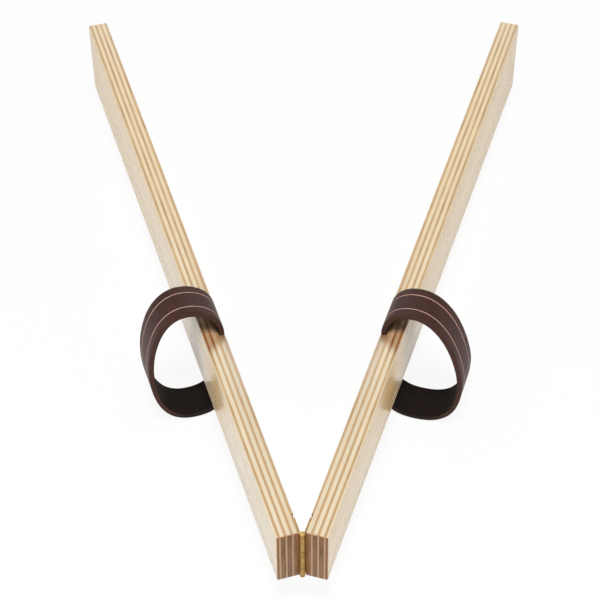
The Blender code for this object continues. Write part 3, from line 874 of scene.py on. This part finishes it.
def screw_profile(look, growth=0.0):
    """Countersunk head with its face at height 0, shank and point. Growth makes the hole for it."""
    head = look.head_radius + growth
    shank = look.shank_radius + growth
    tip = look.length + growth
    top, rim = (1 * MM, 0) if growth else (0, -look.rim_height)
    return [(0, top), (head, top), (head, rim), (shank, shank - head),
            (shank, look.point_length - tip), (0, -tip)]


def screw_blank(look):
    """One slotted screw without its thread."""
    blank = turned("screw_blank", screw_profile(look), 32)
    half = look.head_radius * 1.5
    work = bmesh.new()
    bmesh.ops.create_cube(work, size=1)
    bmesh.ops.scale(work, vec=(2 * half, look.slot_width, 2 * look.slot_depth), verts=work.verts)
    mesh = bpy.data.meshes.new("slot")
    work.to_mesh(mesh)
    work.free()
    slot = new_object("slot", mesh)
    slotted = blank.modifiers.new("slot", "BOOLEAN")
    slotted.object = slot
    slotted.solver = "EXACT"
    ease_edges(blank, look.edge_radius, sharp=35)
    blank = bake(blank, "slotted_screw")
    bpy.data.objects.remove(slot, do_unlink=True)
    tidy_mesh(blank.data)
    shade(blank, 35)
    return blank


def screw_spots(side, group):
    """CAD screws of one group and a point at each head's middle, in the board's own frame."""
    prefix = f"{side.name}_{group}_screw_"
    nodes = sorted(name for name in frame["nodes"] if name.startswith(prefix))
    spots = []
    for node in nodes:
        low, high = board_box(side, node)
        spots.append(Vector((low.x, (low.y + high.y) / 2, (low.z + high.z) / 2)))
    return nodes, spots


def point_cloud(name, spots):
    mesh = bpy.data.meshes.new(name)
    mesh.from_pydata(spots, [], [])
    return new_object(name, mesh)


def head_turns(net, points, instance, seed):
    """An instance on each point, its head towards -X and turned about its own axis at random."""
    turns = net.add(
        "FunctionNodeRandomValue", {0: (0, 0, 0), 1: (0, 0, TURN), "Seed": seed}, data_type="FLOAT_VECTOR",
    ).outputs[0]
    aim = net.add("FunctionNodeEulerToRotation", {0: (0, -TURN / 4, 0)}).outputs[0]
    spin = net.add("FunctionNodeEulerToRotation", {0: turns}).outputs[0]
    rotation = net.add(
        "FunctionNodeRotateRotation", {0: aim, 1: spin}, rotation_space="LOCAL",
    ).outputs[0]
    return net.add(
        "GeometryNodeInstanceOnPoints", {"Points": points, "Instance": instance, "Rotation": rotation},
    ).outputs[0]


def screw_tree():
    """Threads the blank and sets a screw at each point."""
    net = Growth("wood_screws", {
        "Blank": "Object", "Root Radius": "Float", "Thread Start": "Float", "Thread Length": "Float",
        "Thread Pitch": "Float", "Thread Height": "Float", "Seed": "Int", "Material": "Material",
    })
    blank = net.add("GeometryNodeObjectInfo", {"Object": net.inputs["Blank"]}).outputs["Geometry"]
    turns = net.math("DIVIDE", net.inputs["Thread Length"], net.inputs["Thread Pitch"])
    helix = net.add("GeometryNodeCurveSpiral", {
        "Resolution": 20, "Rotations": turns, "Start Radius": net.inputs["Root Radius"],
        "End Radius": net.inputs["Root Radius"], "Height": net.inputs["Thread Length"],
    }).outputs[0]
    ridge = net.add("GeometryNodeCurvePrimitiveCircle", {
        "Resolution": 4, "Radius": net.inputs["Thread Height"],
    }).outputs[0]
    thread = net.add("GeometryNodeCurveToMesh", {"Curve": helix, "Profile Curve": ridge, "Fill Caps": True})
    drop = net.math("ADD", net.inputs["Thread Start"], net.inputs["Thread Length"])
    placed = net.add("GeometryNodeTransform", {
        "Geometry": thread.outputs[0], "Translation": net.join(0, 0, net.math("MULTIPLY", drop, -1)),
    }).outputs[0]
    whole = net.add("GeometryNodeJoinGeometry")
    net.tree.links.new(blank, whole.inputs[0])
    net.tree.links.new(placed, whole.inputs[0])
    screws = head_turns(net, net.inputs["Geometry"], whole.outputs[0], net.inputs["Seed"])
    net.close(screws, net.inputs["Material"])
    return net


class SLAPSTICK_OT_screws(bpy.types.Operator):
    """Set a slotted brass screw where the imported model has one"""

    bl_idname = "slapstick.screws"
    bl_label = "Screws"

    def execute(self, context):
        settings = context.scene.slapstick
        look = settings.screws
        finish = brass("screw_brass", settings.brass, streak_axis=2)
        blank = screw_blank(look)
        tree = screw_tree()
        start = look.head_radius - look.shank_radius + look.plain_neck
        for side in SIDES:
            for group in ("hinge", "strap"):
                nodes, spots = screw_spots(side, group)
                screws = point_cloud(f"{side.name}_{group}_spots", spots)
                tree.set_on(screws, {
                    "Blank": blank, "Root Radius": look.shank_radius - look.thread_root,
                    "Thread Start": start,
                    "Thread Length": look.length - look.point_length - start,
                    "Thread Pitch": look.thread_pitch, "Thread Height": look.thread_height,
                    "Seed": look.seed + len(side.name) + len(nodes), "Material": finish,
                })
                screws = bake(screws, f"{side.name}_{group}_screws")
                to_row_frame(screws, side)
                dress(screws, side.body, finish, nodes)
        bpy.data.objects.remove(blank, do_unlink=True)
        return {"FINISHED"}


# Straps

FOOT = 4    # the lowest point's number among a loop's knots


def loop_knots(loop, straps, plywood):
    """Bezier points of a strap's middle line as (point, handle before, handle after), in (out, height).

    A side with no handle is straight: there the strap lies in its channel.
    """
    along = (STRAP_MIDDLE - BOARD_LOW.y) / (BOARD_HIGH.y - BOARD_LOW.y)
    near = plywood.hinge_end_width / 2
    edge = near + (BOARD_HIGH.z - near) * along
    back = STRAP_LOW.x + straps.thickness / 2
    crown = Vector((BOARD_LOW.x + loop.crown_out, edge + loop.crown_rise))
    belly = Vector((BOARD_HIGH.x + loop.belly_reach, loop.belly_height))
    foot = Vector((BOARD_LOW.x + loop.foot_out, -edge - loop.foot_drop))
    end = straps.end_gap / 2
    top_edge = Vector((back, edge))
    low_edge = Vector((back, -edge))
    out = Vector((1, 0))
    up = Vector((0, 1))
    return [
        (Vector((back, end)), None, None),
        (top_edge, None, top_edge + up * loop.start_pull),
        (crown, crown - out * loop.crown_pull_in, crown + out * loop.crown_pull_out),
        (belly, belly + up * loop.belly_pull_up, belly - up * loop.belly_pull_down),
        (foot, foot + out * loop.foot_pull_out, foot - out * loop.foot_pull_in),
        (low_edge, low_edge - up * loop.end_pull, None),
        (Vector((back, -end)), None, None),
    ]


def loop_path(name, knots, foot_tilt):
    """The strap's middle line as a curve in the board's own frame, leaning at the foot."""
    curve = bpy.data.curves.new(name, "CURVE")
    curve.dimensions = "3D"
    curve.resolution_u = 48
    spline = curve.splines.new("BEZIER")
    spline.bezier_points.add(len(knots) - 1)
    for bezier, (point, before, after) in zip(spline.bezier_points, knots):
        bezier.co = (point.x, STRAP_MIDDLE, point.y)
        bezier.handle_left_type = "FREE" if before else "VECTOR"
        bezier.handle_right_type = "FREE" if after else "VECTOR"
        if before:
            bezier.handle_left = (before.x, STRAP_MIDDLE, before.y)
        if after:
            bezier.handle_right = (after.x, STRAP_MIDDLE, after.y)
    spline.bezier_points[FOOT].tilt = foot_tilt
    return new_object(name, curve)


def strap_section(look, steps=14, corner_steps=5):
    """Outline of the strap's cross section as (depth, across), the outer side at -depth."""
    half = look.thickness / 2
    wide = look.width / 2
    rim = look.edge_radius
    points = []

    def corner(depth, across, start):
        for step in range(corner_steps + 1):
            turn = start + TURN / 4 * step / corner_steps
            points.append((depth + rim * math.cos(turn), across + rim * math.sin(turn)))

    corner(-half + rim, -wide + rim, TURN / 2)
    corner(half - rim, -wide + rim, -TURN / 4)
    flat = wide - rim
    points += [(half, flat * (2 * step / steps - 1)) for step in range(1, steps)]
    corner(half - rim, wide - rim, 0)
    corner(-half + rim, wide - rim, TURN / 4)
    line = wide - look.line_inset
    groove = [(0.5, 0), (0.3, 0.8), (0, 1), (-0.3, 0.8), (-0.5, 0)]    # shares of its width and depth
    row = [(-half, flat * (1 - 2 * step / steps)) for step in range(1, steps)]
    row = [spot for spot in row if abs(abs(spot[1]) - line) > look.line_width]
    for center in (line, -line):
        row += [(-half + look.line_depth * deep, center + look.line_width * side) for side, deep in groove]
    points += sorted(row, key=lambda spot: -spot[1])
    return points


def section_curve(name, points):
    curve = bpy.data.curves.new(name, "CURVE")
    curve.dimensions = "2D"
    spline = curve.splines.new("POLY")
    spline.points.add(len(points) - 1)
    for point, (depth, across) in zip(spline.points, points):
        point.co = (depth, across, 0, 1)
    spline.use_cyclic_u = True
    return new_object(name, curve)


def strap_tree():
    """Sweeps the section along the loop, roughens it a little and lets the screws in."""
    net = Growth("leather_strap", {
        "Section": "Object", "Ring Spacing": "Float", "Screw Spots": "Object", "Screw Hole": "Object",
        "Dimple Depth": "Float", "Dimple Radius": "Float", "Unevenness": "Float", "Seed": "Int",
        "Material": "Material",
    })

    # The band remembers its place in the section and its run along the loop for the material.
    along = net.add("GeometryNodeSplineParameter").outputs["Length"]
    path = net.add("GeometryNodeResampleCurve", {
        "Curve": net.inputs["Geometry"], "Length": net.inputs["Ring Spacing"],
    }, mode="LENGTH").outputs[0]
    path = net.add("GeometryNodeStoreNamedAttribute", {
        "Geometry": path, "Name": "run", "Value": along,
    }, data_type="FLOAT", domain="POINT").outputs[0]
    section = net.add("GeometryNodeObjectInfo", {"Object": net.inputs["Section"]}).outputs["Geometry"]
    section = net.add("GeometryNodeStoreNamedAttribute", {
        "Geometry": section, "Name": "strap_place", "Value": net.add("GeometryNodeInputPosition").outputs[0],
    }, data_type="FLOAT_VECTOR", domain="POINT").outputs[0]
    band = net.add("GeometryNodeCurveToMesh", {
        "Curve": path, "Profile Curve": section, "Fill Caps": True,
    }).outputs[0]
    across = net.split(net.add("GeometryNodeInputNamedAttribute", {"Name": "strap_place"},
                               data_type="FLOAT_VECTOR").outputs[0])
    run = net.add("GeometryNodeInputNamedAttribute", {"Name": "run"}, data_type="FLOAT").outputs[0]
    band = net.add("GeometryNodeStoreNamedAttribute", {
        "Geometry": band, "Name": "strap_place", "Value": net.join(across[0], across[1], run),
    }, data_type="FLOAT_VECTOR", domain="POINT").outputs[0]

    # The surface wanders a little and dips round the screws.
    position = net.add("GeometryNodeInputPosition").outputs[0]
    normal = net.add("GeometryNodeInputNormal").outputs[0]
    start = net.math("MULTIPLY", net.inputs["Seed"], 3.7)
    wander = net.add("ShaderNodeTexNoise", {
        "Vector": net.vector_math("ADD", position, net.join(start, start, start)), "Scale": 110, "Detail": 1,
    }).outputs[0]
    wander = net.math("MULTIPLY", net.math("SUBTRACT", wander, 0.5), net.inputs["Unevenness"])
    spots = net.add("GeometryNodeObjectInfo", {"Object": net.inputs["Screw Spots"]}).outputs["Geometry"]
    nearest = net.add("GeometryNodeProximity", {"Geometry": spots}, target_element="POINTS")
    dimple = net.ranged(nearest.outputs["Distance"], 0, net.inputs["Dimple Radius"], 1, 0, "SMOOTHSTEP")
    dimple = net.math("MULTIPLY", dimple, net.inputs["Dimple Depth"])
    offset = net.math("SUBTRACT", wander, dimple)
    band = net.add("GeometryNodeSetPosition", {
        "Geometry": band, "Offset": net.add("ShaderNodeVectorMath", {0: normal, "Scale": offset},
                                            operation="SCALE").outputs[0],
    }).outputs[0]

    # Each screw has its hole.
    hole = net.add("GeometryNodeObjectInfo", {"Object": net.inputs["Screw Hole"]}).outputs["Geometry"]
    holes = net.add("GeometryNodeRealizeInstances", {0: head_turns(net, spots, hole, 0)}).outputs[0]
    cut = net.add("GeometryNodeMeshBoolean", operation="DIFFERENCE", solver="EXACT")
    net.tree.links.new(band, cut.inputs["Mesh 1"])
    net.tree.links.new(holes, cut.inputs["Mesh 2"])
    net.close(cut.outputs[0], net.inputs["Material"])
    return net


class SLAPSTICK_OT_straps(bpy.types.Operator):
    """Bend the two leather hand loops into their channels"""

    bl_idname = "slapstick.straps"
    bl_label = "Leather straps"

    def execute(self, context):
        settings = context.scene.slapstick
        look = settings.straps
        tree = strap_tree()
        section = section_curve("strap_section", strap_section(look))
        hole = turned("screw_hole", screw_profile(settings.screws, growth=look.screw_gap), 32)
        for side, loop in ((LEFT, settings.left_loop), (RIGHT, settings.right_loop)):
            leather = strap_leather(side, look)
            spots = point_cloud(side.name + "_spots", screw_spots(side, "strap")[1])
            knots = loop_knots(loop, look, settings.plywood)
            path = loop_path(side.name + "_loop_path", knots, loop.foot_tilt)
            tree.set_on(path, {
                "Section": section, "Ring Spacing": look.ring_spacing, "Screw Spots": spots,
                "Screw Hole": hole, "Dimple Depth": look.dimple_depth,
                "Dimple Radius": look.dimple_radius, "Unevenness": look.unevenness,
                "Seed": look.seed + side.sign, "Material": leather,
            })
            strap = bake(path, side.name + "_leather_strap")
            to_row_frame(strap, side)
            shade(strap, 50)
            dress(strap, side.body, leather, [side.name + "_strap"])
            bpy.data.objects.remove(spots, do_unlink=True)
        for helper in (section, hole):
            bpy.data.objects.remove(helper, do_unlink=True)
        return {"FINISHED"}


# Stage

def aim_camera(look):
    camera = new_object("camera", bpy.data.cameras.new("camera"))
    camera.data.lens = look.lens
    camera.data.sensor_width = 36
    pitch, yaw, roll = look.camera_pitch, look.camera_yaw, look.camera_roll
    forward = Vector((math.sin(yaw) * math.cos(pitch), math.cos(yaw) * math.cos(pitch), -math.sin(pitch)))
    right = Vector((math.cos(yaw), -math.sin(yaw), 0))
    up = right.cross(forward)
    leaned_right = right * math.cos(roll) + up * math.sin(roll)
    leaned_up = up * math.cos(roll) - right * math.sin(roll)
    axes = Matrix((leaned_right, leaned_up, -forward)).transposed().to_4x4()
    place = PIN + Vector((look.camera_right, -look.camera_back, look.camera_up))
    camera.matrix_world = Matrix.Translation(place) @ axes
    bpy.context.scene.camera = camera


def soft_box(name, place, target, width, depth, watts):
    lamp = new_object(name, bpy.data.lights.new(name, "AREA"))
    lamp.data.shape = "RECTANGLE"
    lamp.data.size = width
    lamp.data.size_y = depth
    lamp.data.energy = watts
    lamp.location = place
    lamp.rotation_euler = (Vector(target) - Vector(place)).to_track_quat("-Z", "Y").to_euler()


def seen_directly(net):
    """1 for rays from the camera, or from a mirror or glass that shows the same background."""
    path = net.add("ShaderNodeLightPath").outputs
    either = net.math("MAXIMUM", path["Is Camera Ray"], path["Is Glossy Ray"])
    return net.math("MAXIMUM", either, path["Is Transmission Ray"])


def light_room(look):
    world = bpy.data.worlds.new("white_room")
    world.use_nodes = True
    bpy.context.scene.world = world
    net = Net(world.node_tree)
    net.tree.nodes.clear()
    room = net.add("ShaderNodeBackground", {"Color": (1, 1, 1, 1), "Strength": look.room_light})
    backdrop = net.add("ShaderNodeBackground", {"Color": (1, 1, 1, 1), "Strength": 1.0})
    feeds = {0: seen_directly(net), 1: room.outputs[0], 2: backdrop.outputs[0]}
    shown = net.add("ShaderNodeMixShader", feeds)
    net.add("ShaderNodeOutputWorld", {0: shown.outputs[0]})


def lay_floor(look):
    """A pale round floor, just under the loops, that turns from shaded to pure white round the object."""
    mesh = bpy.data.meshes.new("floor")
    work = bmesh.new()
    bmesh.ops.create_circle(work, cap_ends=True, segments=96, radius=4)
    work.to_mesh(mesh)
    work.free()
    floor = new_object("floor", mesh)
    mesh.transform(Matrix.Translation((0, 0, -0.3 * MM)))
    material = bpy.data.materials.new("pale_floor")
    material.use_nodes = True
    net = Net(material.node_tree)
    net.tree.nodes.clear()
    lit = net.add("ShaderNodeBsdfDiffuse", {"Color": linear(look.floor_color)})
    white = net.add("ShaderNodeEmission", {"Color": (1, 1, 1, 1), "Strength": 1.0})
    place = net.add("ShaderNodeTexCoord").outputs["Object"]
    reach = net.add("ShaderNodeVectorMath", {0: place}, operation="LENGTH").outputs["Value"]
    whiteness = net.ranged(reach, 0.25, 0.7, look.floor_whiteness, 1, "SMOOTHSTEP")
    amount = net.math("MULTIPLY", seen_directly(net), whiteness)
    shown = net.add("ShaderNodeMixShader", {0: amount, 1: lit.outputs[0], 2: white.outputs[0]})
    net.add("ShaderNodeOutputMaterial", {0: shown.outputs[0]})
    mesh.materials.append(material)


class SLAPSTICK_OT_stage(bpy.types.Operator):
    """Set the camera, the pale floor and the soft light"""

    bl_idname = "slapstick.stage"
    bl_label = "Stage"

    def execute(self, context):
        look = context.scene.slapstick.stage
        context.scene.view_settings.view_transform = "Standard"
        aim_camera(look)
        light_room(look)
        lay_floor(look)
        middle = (0, 0, PIN.z)
        soft_box("overhead_box", (0, -0.8, 2.1), middle, 0.7, 0.7, look.overhead_power)
        soft_box("left_box", (-1.05, -1.0, 0.45), middle, 1.0, 0.7, look.left_power)
        soft_box("right_box", (1.05, -1.0, 0.45), middle, 1.0, 0.7, look.right_power)
        soft_box("back_box", (0, 1.7, 0.5), middle, 1.4, 0.8, look.back_power)
        return {"FINISHED"}


# Panel and registration

MAKERS = (
    SLAPSTICK_OT_boards,
    SLAPSTICK_OT_hinge,
    SLAPSTICK_OT_screws,
    SLAPSTICK_OT_straps,
    SLAPSTICK_OT_stage,
)


class SLAPSTICK_PT_panel(bpy.types.Panel):
    """Lists the pieces of the slapstick"""

    bl_label = "Slapstick"
    bl_idname = "SLAPSTICK_PT_panel"
    bl_space_type = "VIEW_3D"
    bl_region_type = "UI"
    bl_category = "Slapstick"

    def draw(self, context):
        for maker in MAKERS:
            self.layout.operator(maker.bl_idname)


CLASSES = (
    PlywoodSettings,
    BrassSettings,
    ScrewSettings,
    StrapSettings,
    LeftLoopSettings,
    RightLoopSettings,
    StageSettings,
    SlapstickSettings,
    *MAKERS,
    SLAPSTICK_PT_panel,
)


def register():
    for item in CLASSES:
        bpy.utils.register_class(item)
    bpy.types.Scene.slapstick = bpy.props.PointerProperty(type=SlapstickSettings)


def unregister():
    del bpy.types.Scene.slapstick
    for item in reversed(CLASSES):
        bpy.utils.unregister_class(item)


def main():
    register()
    bpy.ops.slapstick.boards()
    bpy.ops.slapstick.hinge()
    bpy.ops.slapstick.screws()
    bpy.ops.slapstick.straps()
    bpy.ops.slapstick.stage()


if __name__ == "__main__":
    main()
